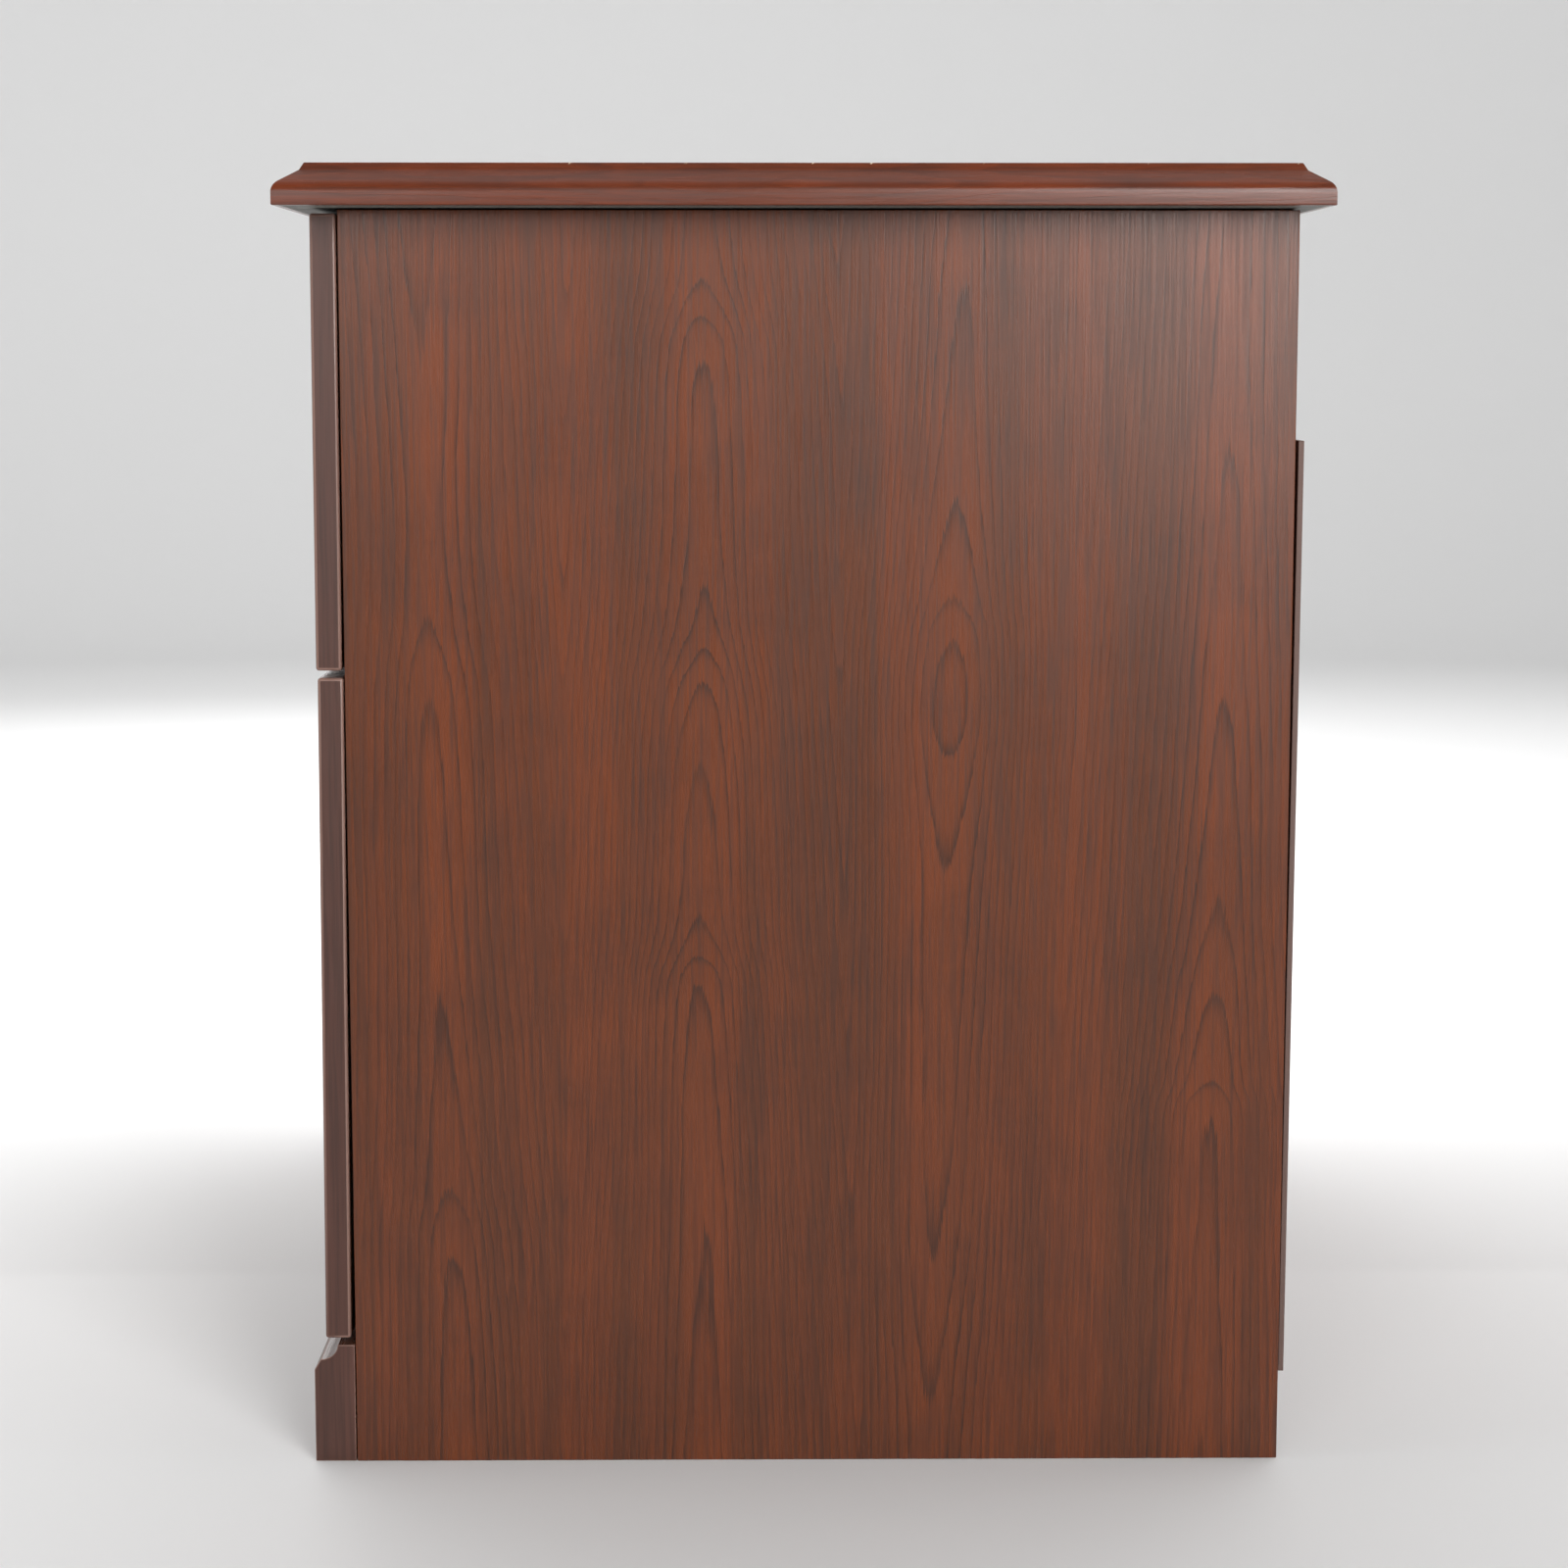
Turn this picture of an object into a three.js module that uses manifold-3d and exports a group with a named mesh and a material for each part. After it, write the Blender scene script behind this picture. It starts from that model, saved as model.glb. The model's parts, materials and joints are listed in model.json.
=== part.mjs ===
// Two-drawer wooden lateral cabinet with a moulded top, a moulded base rail,
// telescopic drawer slides and bow pulls.
//
// Millimetres. +X is the cabinet's left-to-right width, -Y is its front and +Z is up.
// The model is laid out with y = 0 on the carcass's front edges and z = 0 on the floor,
// and the last lines move it so that its origin is the bottom centre of its bounding box.

import * as THREE from 'three';
import Module from 'manifold-3d';
import { mergeVertices } from 'three/addons/utils/BufferGeometryUtils.js';

// ---------------------------------------------------------------- driving dimensions

const HEIGHT = 760;
const CARCASS_WIDTH = 874;
const CARCASS_DEPTH = 547.5;
const BOARD = 18; // thickness of the laminated carcass boards
const FIT = 0.3; // gap left between pieces that touch

const TOP_THICKNESS = 24.25;
const TOP_SIDE_OVERHANG = 38;
const TOP_FRONT_OVERHANG = 32.25;
const TOP_REAR_OVERHANG = 14.5;
const TOP_SHADOW_GAP = 1; // reveal between the sides' upper edges and the top

// Edge moulding of the top: a vertical lip, a quarter round, a long slope and a small step.
const LIP_HEIGHT = 7;
const ROUND_INSET = 4;
const ROUND_HEIGHT = 13.7;
const SLOPE_INSET = 14.3;
const SLOPE_HEIGHT = 20;
const STEP_INSET = 16.8;

// Base rail: a plinth board with a chamfer and a cove cut out of its upper front edge.
const BASE_HEIGHT = 71;
const BASE_REACH = 24.7;
const BASE_END_INSET = 0.25;
const CHAMFER_BOTTOM = 56;
const CHAMFER_DEPTH = 3.8;
const CHAMFER_TOP = 62.3;
const BASE_FLAT = 10.8; // depth of the flat strip on top of the rail
const COVE_SEGMENTS = 8;

const RAIL_DEPTH = 60;
const MID_RAIL_Z = 460.75; // underside of the rail between the two drawers
const REAR_RAIL_Z = 590; // underside of the upright rail at the top of the back
const CLEAT = 20;
const CLEAT_START = 80;
const CLEAT_LENGTH = 420;

const BACK_THICKNESS = 3.2;
const BACK_WIDTH = 870;
const BACK_BOTTOM = 53;
const BACK_TOP = 604;
const BACK_LEAN = 0.18; // degrees: the thin panel's upper edge stands off a little

const FRONT_WIDTH = 872;
const FRONT_THICKNESS = 15;

const BOX_BOARD = 12; // thickness of the drawer-box boards
const BOX_INNER_DEPTH = 400;
const BOX_FRONT_Y = -0.5;
const BOX_BOTTOM_THICKNESS = 6;
const GROOVE_DEPTH = 6;
const GROOVE_OFFSET = 10; // from a box's lower edge up to its bottom panel

const SLIDE_SPACE = 13; // width left for a slide on each side of a drawer box
const SLIDE_LENGTH = 400;
const SLIDE_START = 4;
const SLIDE_STEEL = 1.2;

const PULL_SPACING = 400; // between the centres of a drawer's two pulls
const PULL_CENTRES = 96; // between the two screws of one pull
const PULL_DROP = 130; // from a front's upper edge down to its pulls
const PULL_BOW = 31; // how far the bow's control points stand out
const PULL_HALF_HEIGHT = 5;
const PULL_HALF_DEPTH = 3;
const FOOT_RADIUS = 7.5;
const FOOT_HEIGHT = 4;
const SCREW_RADIUS = 2;
const SCREW_GRIP = 8; // how far a screw reaches into its pull
const SCREW_HEAD_RADIUS = 4.2;
const SCREW_HEAD_HEIGHT = 2.6;
const HOLE_RADIUS = 2.6;

const FILE_BAR_LENGTH = 780;
const FILE_BAR_STEEL = 1.5;

// Each drawer: its front's edges, how far the front stands off the carcass at its upper
// edge, how many degrees it hangs outward, its box's edges and its slides' centre line.
const DRAWERS = {
  upper: {
    frontTop: 732.7, frontBottom: 471.9, standOff: 1.1, lean: 0.14,
    boxBottom: 492, boxTop: 692, slideZ: 570,
  },
  lower: {
    frontTop: 467.7, frontBottom: 74.9, standOff: 0.9, lean: 0.28,
    boxBottom: 92, boxTop: 372, slideZ: 200,
  },
};

// ---------------------------------------------------------------- derived sizes

const TOP_UNDERSIDE = HEIGHT - TOP_THICKNESS;
const HALF_CARCASS = CARCASS_WIDTH / 2;
const HALF_INNER = HALF_CARCASS - BOARD;
const HALF_BOX = HALF_INNER - SLIDE_SPACE;
const HALF_BOX_INNER = HALF_BOX - BOX_BOARD;
const BOX_DEPTH = BOX_INNER_DEPTH + 2 * BOX_BOARD;
const SIDE_SIGN = { left: -1, right: 1 };

// ---------------------------------------------------------------- materials

const FINISHES = {
  laminate: { color: 0x8c4630, roughness: 0.38, metalness: 0 },
  box: { color: 0xc9b08a, roughness: 0.6, metalness: 0 },
  hardboard: { color: 0x7a4a38, roughness: 0.7, metalness: 0 },
  steel: { color: 0xb8bcc0, roughness: 0.35, metalness: 1 },
  brass: { color: 0x9a7440, roughness: 0.35, metalness: 1 },
};

const cabinet = new THREE.Group();

function addPart(name, geometry, finish, position = [0, 0, 0], parent = cabinet) {
  const mesh = new THREE.Mesh(geometry, new THREE.MeshStandardMaterial(FINISHES[finish]));
  mesh.name = name;
  mesh.position.set(...position);
  parent.add(mesh);
}

// ---------------------------------------------------------------- joining and cutting

const wasm = await Module();
wasm.setup();

function toSolid(geometry) {
  const bare = geometry.clone();
  bare.deleteAttribute('normal');
  bare.deleteAttribute('uv');
  const merged = mergeVertices(bare, 1e-4);
  return new wasm.Manifold(new wasm.Mesh({
    numProp: 3,
    vertProperties: new Float32Array(merged.attributes.position.array),
    triVerts: new Uint32Array(merged.index.array),
  }));
}

function toGeometry(solid) {
  const { vertProperties, triVerts } = solid.getMesh();
  const geometry = new THREE.BufferGeometry();
  geometry.setAttribute('position', new THREE.BufferAttribute(vertProperties, 3));
  geometry.setIndex(new THREE.BufferAttribute(triVerts, 1));
  geometry.computeVertexNormals();
  return geometry;
}

function cut(geometry, cutters) {
  let solid = toSolid(geometry);
  for (const cutter of cutters) {
    solid = solid.subtract(toSolid(cutter));
  }
  return toGeometry(solid);
}

function join(geometry, others) {
  let solid = toSolid(geometry);
  for (const other of others) {
    solid = solid.add(toSolid(other));
  }
  return toGeometry(solid);
}

// ---------------------------------------------------------------- basic shapes

// A board given by its two opposite corners.
function board(low, high) {
  const size = high.map((value, axis) => value - low[axis]);
  const centre = high.map((value, axis) => (value + low[axis]) / 2);
  return new THREE.BoxGeometry(...size).translate(...centre);
}

function outline(points) {
  return new THREE.Shape(points.map(([a, b]) => new THREE.Vector2(a, b)));
}

const EXTRUSION = { bevelEnabled: false, curveSegments: 8 };

// A section drawn in (y, z) and swept along X, centred on x = 0.
function sweepX(shape, length) {
  const geometry = new THREE.ExtrudeGeometry(shape, { ...EXTRUSION, depth: length });
  const axes = new THREE.Matrix4().makeBasis(
    new THREE.Vector3(0, 1, 0), new THREE.Vector3(0, 0, 1), new THREE.Vector3(1, 0, 0),
  );
  return geometry.applyMatrix4(axes).translate(-length / 2, 0, 0);
}

// A section drawn in (x, z) and swept along Y, starting at y = 0.
function sweepY(shape, length) {
  const geometry = new THREE.ExtrudeGeometry(shape, { ...EXTRUSION, depth: length });
  const axes = new THREE.Matrix4().makeBasis(
    new THREE.Vector3(1, 0, 0), new THREE.Vector3(0, 0, 1), new THREE.Vector3(0, -1, 0),
  );
  return geometry.applyMatrix4(axes).translate(0, length, 0);
}

// A round bar along Y from `start` to `end`.
function barY(radius, start, end, x, z, segments = 16) {
  const geometry = new THREE.CylinderGeometry(radius, radius, end - start, segments);
  return geometry.translate(0, (start + end) / 2, 0).translate(x, 0, z);
}

// ---------------------------------------------------------------- top

// Section of the top with the edge moulding on both of its long edges.
function topSection(width) {
  const half = width / 2;
  const shape = new THREE.Shape();
  shape.moveTo(-half, 0);
  shape.lineTo(half, 0);
  shape.lineTo(half, LIP_HEIGHT);
  const tangentHeight = ROUND_HEIGHT
    - ROUND_INSET * (SLOPE_HEIGHT - ROUND_HEIGHT) / (SLOPE_INSET - ROUND_INSET);
  shape.quadraticCurveTo(half, tangentHeight, half - ROUND_INSET, ROUND_HEIGHT);
  shape.lineTo(half - SLOPE_INSET, SLOPE_HEIGHT);
  shape.lineTo(half - STEP_INSET, TOP_THICKNESS);
  shape.lineTo(-half + STEP_INSET, TOP_THICKNESS);
  shape.lineTo(-half + SLOPE_INSET, SLOPE_HEIGHT);
  shape.lineTo(-half + ROUND_INSET, ROUND_HEIGHT);
  shape.quadraticCurveTo(-half, tangentHeight, -half, LIP_HEIGHT);
  shape.closePath();
  return shape;
}

// Two crossed sweeps of the moulding meet in mitres at the four corners.
function addTop() {
  const width = CARCASS_WIDTH + 2 * TOP_SIDE_OVERHANG;
  const depth = TOP_FRONT_OVERHANG + CARCASS_DEPTH + TOP_REAR_OVERHANG;
  const lengthwise = sweepX(topSection(depth), width).translate(0, depth / 2, 0);
  const crosswise = sweepY(topSection(width), depth);
  const slab = toGeometry(toSolid(lengthwise).intersect(toSolid(crosswise)));
  addPart('top', slab, 'laminate', [0, -TOP_FRONT_OVERHANG, TOP_UNDERSIDE]);
}

// ---------------------------------------------------------------- carcass

function addSides() {
  for (const [side, sign] of Object.entries(SIDE_SIGN)) {
    const middle = sign * (HALF_CARCASS - BOARD / 2);
    const panel = board(
      [middle - BOARD / 2, 0, 0],
      [middle + BOARD / 2, CARCASS_DEPTH, TOP_UNDERSIDE - TOP_SHADOW_GAP],
    );
    addPart(`${side}_side`, panel, 'laminate');

    const cleatMiddle = sign * (HALF_INNER - FIT - CLEAT / 2);
    const cleat = board(
      [cleatMiddle - CLEAT / 2, CLEAT_START, TOP_UNDERSIDE - FIT - CLEAT],
      [cleatMiddle + CLEAT / 2, CLEAT_START + CLEAT_LENGTH, TOP_UNDERSIDE - FIT],
    );
    addPart(`${side}_top_cleat`, cleat, 'box');
  }
}

// A board that spans the inside of the carcass between its two sides.
function addCrossBoard(name, yRange, zRange, finish = 'laminate') {
  const reach = HALF_INNER - FIT;
  const geometry = board([-reach, yRange[0], zRange[0]], [reach, yRange[1], zRange[1]]);
  addPart(name, geometry, finish);
}

function addCrossBoards() {
  const rear = CARCASS_DEPTH;
  const underTop = TOP_UNDERSIDE - FIT;
  addCrossBoard('bottom_panel', [FIT, rear], [BASE_HEIGHT - BOARD, BASE_HEIGHT]);
  addCrossBoard('base_rear_rail', [rear - BOARD, rear], [0, BASE_HEIGHT - BOARD - FIT]);
  addCrossBoard('mid_rail', [FIT, RAIL_DEPTH], [MID_RAIL_Z, MID_RAIL_Z + BOARD]);
  addCrossBoard('front_top_rail', [FIT, RAIL_DEPTH], [underTop - BOARD, underTop]);
  addCrossBoard('rear_top_rail', [rear - BOARD, rear], [REAR_RAIL_Z, underTop]);
}

// Plinth across the front edges of the sides, with its moulded upper edge.
function addBaseFrontRail() {
  const coveRadius = BASE_HEIGHT - CHAMFER_TOP;
  const coveStart = -(BASE_REACH - CHAMFER_DEPTH);
  const section = [[-FIT, 0], [-FIT, BASE_HEIGHT], [-BASE_FLAT, BASE_HEIGHT]];
  for (let step = 1; step <= COVE_SEGMENTS; step += 1) {
    const angle = (step / COVE_SEGMENTS) * Math.PI / 2;
    const y = coveStart + (-BASE_FLAT - coveStart) * Math.cos(angle);
    section.push([y, BASE_HEIGHT - coveRadius * Math.sin(angle)]);
  }
  section.push([-BASE_REACH, CHAMFER_BOTTOM], [-BASE_REACH, 0]);
  const length = CARCASS_WIDTH - 2 * BASE_END_INSET;
  addPart('base_front_rail', sweepX(outline(section.reverse()), length), 'laminate');
}

// Thin panel over the carcass's rear edges, hung from its lower edge's line.
function addBackPanel() {
  const hang = new THREE.Group();
  hang.position.set(0, CARCASS_DEPTH + FIT, BACK_BOTTOM);
  hang.rotation.x = THREE.MathUtils.degToRad(-BACK_LEAN);
  const half = BACK_WIDTH / 2;
  const panel = board([-half, 0, 0], [half, BACK_THICKNESS, BACK_TOP - BACK_BOTTOM]);
  addPart('back_panel', panel, 'hardboard', [0, 0, 0], hang);
  cabinet.add(hang);
}

// ---------------------------------------------------------------- drawer slides

// One folded steel channel. Its web lies from `web` to `web + SLIDE_STEEL` off the
// carcass side, and its two flanges reach to `reach`, on whichever side of the web it is.
function channelSection(halfHeight, web, reach) {
  const inner = reach > web ? web + SLIDE_STEEL : web;
  const outer = reach > web ? web : web + SLIDE_STEEL;
  return [
    [outer, -halfHeight], [reach, -halfHeight], [reach, -halfHeight + SLIDE_STEEL],
    [inner, -halfHeight + SLIDE_STEEL], [inner, halfHeight - SLIDE_STEEL],
    [reach, halfHeight - SLIDE_STEEL], [reach, halfHeight], [outer, halfHeight],
  ];
}

const SLIDE_MEMBERS = {
  cabinet: channelSection(22.75, 0.3, 9.5),
  middle: channelSection(17.9, 4, 11),
  drawer: channelSection(12.9, 11.5, 6.6),
};

function addSlides(drawerName, slideZ) {
  for (const [side, sign] of Object.entries(SIDE_SIGN)) {
    for (const [member, section] of Object.entries(SLIDE_MEMBERS)) {
      const placed = section.map(([offset, z]) => [sign * (HALF_INNER - offset), slideZ + z]);
      const shape = outline(placed);
      const geometry = sweepY(shape, SLIDE_LENGTH).translate(0, SLIDE_START, 0);
      addPart(`${drawerName}_${side}_slide_${member}`, geometry, 'steel');
    }
  }
}

// ---------------------------------------------------------------- drawer boxes

// Section of a drawer-box board with the groove that holds the bottom panel. It is drawn
// from its outer face at 0 to its inner face, in the direction of `sign`.
function groovedSection(outer, sign, bottom, top) {
  const inner = outer + sign * BOX_BOARD;
  const grooveFloor = inner - sign * GROOVE_DEPTH;
  const grooveBottom = bottom + GROOVE_OFFSET - FIT;
  const grooveTop = bottom + GROOVE_OFFSET + BOX_BOTTOM_THICKNESS + FIT;
  return outline([
    [outer, bottom], [inner, bottom], [inner, grooveBottom], [grooveFloor, grooveBottom],
    [grooveFloor, grooveTop], [inner, grooveTop], [inner, top], [outer, top],
  ]);
}

// Screw holes of a drawer's pulls, given as [x, z] pairs.
function pullScrews(drawer) {
  const z = drawer.frontTop - PULL_DROP;
  const places = [];
  for (const pull of [-1, 1]) {
    for (const end of [-1, 1]) {
      places.push([pull * PULL_SPACING / 2 + end * PULL_CENTRES / 2, z]);
    }
  }
  return places;
}

function addDrawerBox(drawerName, drawer) {
  const { boxBottom, boxTop } = drawer;
  const rearInner = BOX_FRONT_Y + BOX_BOARD + BOX_INNER_DEPTH;

  for (const [side, sign] of Object.entries(SIDE_SIGN)) {
    const section = groovedSection(sign * HALF_BOX, -sign, boxBottom, boxTop);
    const geometry = sweepY(section, BOX_DEPTH).translate(0, BOX_FRONT_Y, 0);
    addPart(`${drawerName}_box_${side}`, geometry, 'box');
  }

  const across = 2 * (HALF_BOX_INNER - FIT);
  const frontSection = groovedSection(BOX_FRONT_Y, 1, boxBottom, boxTop);
  const holes = pullScrews(drawer).map(
    ([x, z]) => barY(HOLE_RADIUS, BOX_FRONT_Y - 1, BOX_FRONT_Y + BOX_BOARD + 1, x, z),
  );
  addPart(`${drawerName}_box_front`, cut(sweepX(frontSection, across), holes), 'box');

  const rearSection = groovedSection(rearInner + BOX_BOARD, -1, boxBottom, boxTop);
  addPart(`${drawerName}_box_rear`, sweepX(rearSection, across), 'box');

  const tongue = GROOVE_DEPTH - FIT;
  const panelReach = HALF_BOX_INNER + tongue;
  const panelBottom = boxBottom + GROOVE_OFFSET;
  const panel = board(
    [-panelReach, BOX_FRONT_Y + BOX_BOARD - tongue, panelBottom],
    [panelReach, rearInner + tongue, panelBottom + BOX_BOTTOM_THICKNESS],
  );
  addPart(`${drawerName}_box_bottom`, panel, 'box');
}

// ---------------------------------------------------------------- fronts, pulls, screws

// A bow pull: an oval bar along an arch that stands on two round feet. Its feet rest on
// y = 0 and it bows out towards -Y.
function pullGeometry() {
  const half = PULL_CENTRES / 2;
  const arch = new THREE.CubicBezierCurve3(
    new THREE.Vector3(-half, -1, 0), new THREE.Vector3(-half, -PULL_BOW, 0),
    new THREE.Vector3(half, -PULL_BOW, 0), new THREE.Vector3(half, -1, 0),
  );
  const section = new THREE.Shape();
  section.absellipse(0, 0, PULL_HALF_HEIGHT, PULL_HALF_DEPTH, 0, 2 * Math.PI);
  const bar = new THREE.ExtrudeGeometry(section, {
    extrudePath: arch, steps: 28, bevelEnabled: false, curveSegments: 6,
  });
  const feet = [-half, half].map((x) => barY(FOOT_RADIUS, -FOOT_HEIGHT, 0, x, 0, 24));
  const bores = [-half, half].map((x) => barY(SCREW_RADIUS + FIT, -SCREW_GRIP - 1, 1, x, 0));
  return cut(join(bar, feet), bores);
}

// A pan-head screw from behind the drawer box, through its front, into a pull's foot.
function screwGeometry(headY, tipY, x, z) {
  const shank = barY(SCREW_RADIUS, tipY, headY + SCREW_HEAD_HEIGHT / 2, x, z, 12);
  const head = barY(SCREW_HEAD_RADIUS, headY, headY + SCREW_HEAD_HEIGHT, x, z, 16);
  return join(head, [shank]);
}

// A drawer front with its pulls and screws. They hang in one group, turned about the
// front's upper rear edge, because a front hangs outward by a fraction of a degree.
function addDrawerFront(drawerName, drawer) {
  const { frontTop, frontBottom, standOff, lean } = drawer;
  const hang = new THREE.Group();
  hang.position.set(0, -standOff, frontTop);
  hang.rotation.x = THREE.MathUtils.degToRad(-lean);
  cabinet.add(hang);

  const half = FRONT_WIDTH / 2;
  const screws = pullScrews(drawer).map(([x, z]) => [x, z - frontTop]);
  const panel = board([-half, -FRONT_THICKNESS, frontBottom - frontTop], [half, 0, 0]);
  const holes = screws.map(([x, z]) => barY(HOLE_RADIUS, -FRONT_THICKNESS - 1, 1, x, z));
  addPart(`${drawerName}_front`, cut(panel, holes), 'laminate', [0, 0, 0], hang);

  const outerFace = -FRONT_THICKNESS - FIT;
  for (const [side, sign] of Object.entries(SIDE_SIGN)) {
    const place = [sign * PULL_SPACING / 2, outerFace, -PULL_DROP];
    addPart(`${drawerName}_${side}_pull`, pullGeometry(), 'brass', place, hang);
  }

  const leanAtPull = Math.tan(THREE.MathUtils.degToRad(lean)) * PULL_DROP;
  const headY = BOX_FRONT_Y + BOX_BOARD + FIT + standOff + leanAtPull;
  screws.forEach(([x, z], index) => {
    const geometry = screwGeometry(headY, outerFace - SCREW_GRIP, x, z);
    addPart(`${drawerName}_pull_screw_${index + 1}`, geometry, 'steel', [0, 0, 0], hang);
  });
}

// ---------------------------------------------------------------- hanging-file bars

// Folded strips along the inside of the lower box's front and rear. Each hooks over the
// board's upper edge, and its raised fin carries the hooks of hanging files.
function addFileBars(drawerName, drawer) {
  const hook = 9;
  const hang = 16;
  const fin = 8;
  const frontInner = BOX_FRONT_Y + BOX_BOARD;
  const rearInner = frontInner + BOX_INNER_DEPTH;
  const bars = { front: [frontInner, 1], rear: [rearInner, -1] };
  for (const [place, [face, sign]] of Object.entries(bars)) {
    const near = face + sign * FIT;
    const far = near + sign * FILE_BAR_STEEL;
    const over = face - sign * hook;
    const ledge = drawer.boxTop + FIT;
    const section = [
      [near, drawer.boxTop - hang], [far, drawer.boxTop - hang], [far, drawer.boxTop + fin],
      [near, drawer.boxTop + fin], [near, ledge + FILE_BAR_STEEL],
      [over, ledge + FILE_BAR_STEEL], [over, ledge], [near, ledge],
    ];
    const geometry = sweepX(outline(section), FILE_BAR_LENGTH);
    addPart(`${drawerName}_file_bar_${place}`, geometry, 'steel');
  }
}

// ---------------------------------------------------------------- assembly

addTop();
addSides();
addCrossBoards();
addBaseFrontRail();
addBackPanel();
for (const [drawerName, drawer] of Object.entries(DRAWERS)) {
  addSlides(drawerName, drawer.slideZ);
  addDrawerBox(drawerName, drawer);
  addDrawerFront(drawerName, drawer);
}
addFileBars('lower', DRAWERS.lower);

const extent = new THREE.Box3().setFromObject(cabinet, true);
cabinet.position.y = -(extent.min.y + extent.max.y) / 2;

export default cabinet;
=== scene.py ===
"""Looks of a two-drawer wooden lateral cabinet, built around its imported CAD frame.

Metres. The drawers face -Y, and the camera looks at the right-hand side, along -X.
"""

import json
import math

import bmesh
import bpy
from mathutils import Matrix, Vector


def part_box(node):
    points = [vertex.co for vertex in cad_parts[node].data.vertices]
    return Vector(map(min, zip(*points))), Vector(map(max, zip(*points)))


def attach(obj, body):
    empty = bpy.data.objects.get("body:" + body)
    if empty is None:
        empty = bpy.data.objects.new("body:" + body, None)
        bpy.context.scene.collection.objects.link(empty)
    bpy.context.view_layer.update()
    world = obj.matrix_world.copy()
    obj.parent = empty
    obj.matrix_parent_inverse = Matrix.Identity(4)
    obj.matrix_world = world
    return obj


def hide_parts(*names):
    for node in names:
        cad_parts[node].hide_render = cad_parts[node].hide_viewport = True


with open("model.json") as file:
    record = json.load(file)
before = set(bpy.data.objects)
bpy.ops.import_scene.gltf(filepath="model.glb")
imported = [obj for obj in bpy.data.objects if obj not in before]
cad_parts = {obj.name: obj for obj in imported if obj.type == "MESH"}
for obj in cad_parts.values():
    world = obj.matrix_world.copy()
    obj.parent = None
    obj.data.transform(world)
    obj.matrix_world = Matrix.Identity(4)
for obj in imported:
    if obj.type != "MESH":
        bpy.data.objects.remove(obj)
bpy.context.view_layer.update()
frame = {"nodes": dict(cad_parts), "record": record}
MM = 0.001
DRAWERS = ("upper", "lower")
SIDES = ("left", "right")

# ---------------------------------------------------------------- camera

CAMERA_DISTANCE = 1.9366  # from the right side board's outer face
CAMERA_SETBACK = 0.2336  # behind that board's front edge
CAMERA_HEIGHT = 0.6543
CAMERA_PITCH = 7.31  # degrees down
CAMERA_YAW = 0.595  # degrees towards the cabinet's rear
FOCAL_LENGTH = 77.22  # millimetres on a 36 mm wide sensor


def add_camera():
    low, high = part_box("right_side")
    data = bpy.data.cameras.new("camera")
    data.sensor_width = 36
    data.lens = FOCAL_LENGTH
    camera = bpy.data.objects.new("camera", data)
    camera.location = (high.x + CAMERA_DISTANCE, low.y + CAMERA_SETBACK, CAMERA_HEIGHT)
    tilt = math.radians(90 - CAMERA_PITCH)
    heading = math.radians(90 - CAMERA_YAW)
    camera.rotation_euler = (tilt, 0, heading)
    bpy.context.scene.collection.objects.link(camera)
    bpy.context.scene.camera = camera


# ---------------------------------------------------------------- shader graphs


class Graph:
    """Short names for the shader nodes that the materials are made of."""

    def __init__(self, tree):
        self.tree = tree

    def node(self, kind, inputs=None, **settings):
        made = self.tree.nodes.new(kind)
        for key, value in settings.items():
            setattr(made, key, value)
        for key, value in (inputs or {}).items():
            self.feed(made.inputs[key], value)
        return made

    def feed(self, socket, value):
        if isinstance(value, bpy.types.NodeSocket):
            self.tree.links.new(value, socket)
        else:
            socket.default_value = value

    def math(self, operation, *values):
        made = self.node("ShaderNodeMath", operation=operation)
        for socket, value in zip(made.inputs, values):
            self.feed(socket, value)
        return made.outputs[0]

    def vector(self, x=0.0, y=0.0, z=0.0):
        return self.node("ShaderNodeCombineXYZ", {"X": x, "Y": y, "Z": z}).outputs[0]

    def noise(self, vector, detail=2.0, roughness=0.5):
        settings = {"Vector": vector, "Scale": 1.0, "Detail": detail, "Roughness": roughness}
        return self.node("ShaderNodeTexNoise", settings).outputs["Fac"]

    def ramp(self, value, low, high, to_low=0.0, to_high=1.0):
        settings = {"Value": value, "From Min": low, "From Max": high,
                    "To Min": to_low, "To Max": to_high}
        made = self.node("ShaderNodeMapRange", settings, interpolation_type="SMOOTHSTEP")
        return made.outputs[0]

    def mix(self, factor, colour_a, colour_b, blend="MIX"):
        made = self.node("ShaderNodeMix", data_type="RGBA", blend_type=blend)
        self.feed(made.inputs[0], factor)
        self.feed(made.inputs[6], colour_a)
        self.feed(made.inputs[7], colour_b)
        return made.outputs[2]

    def curve(self, value, points):
        made = self.node("ShaderNodeFloatCurve", {"Value": value})
        curve = made.mapping.curves[0]
        for _ in range(len(points) - len(curve.points)):
            curve.points.new(0.5, 0.5)
        for point, place in zip(curve.points, points):
            point.location = place
            point.handle_type = "AUTO_CLAMPED"
        made.mapping.update()
        return made.outputs[0]

    def bump(self, height, distance):
        settings = {"Height": height, "Strength": 1.0, "Distance": distance}
        return self.node("ShaderNodeBump", settings).outputs[0]


def rgb(red, green, blue):
    return (red, green, blue, 1.0)


def new_material(name, **fixed):
    """A Principled material; `fixed` sets values that are the same all over it."""
    material = bpy.data.materials.new(name)
    material.use_nodes = True
    graph = Graph(material.node_tree)
    shader = material.node_tree.nodes["Principled BSDF"]
    for socket, value in fixed.items():
        shader.inputs[socket.replace("_", " ")].default_value = value
    return material, graph, shader


# ---------------------------------------------------------------- wood figure

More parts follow.
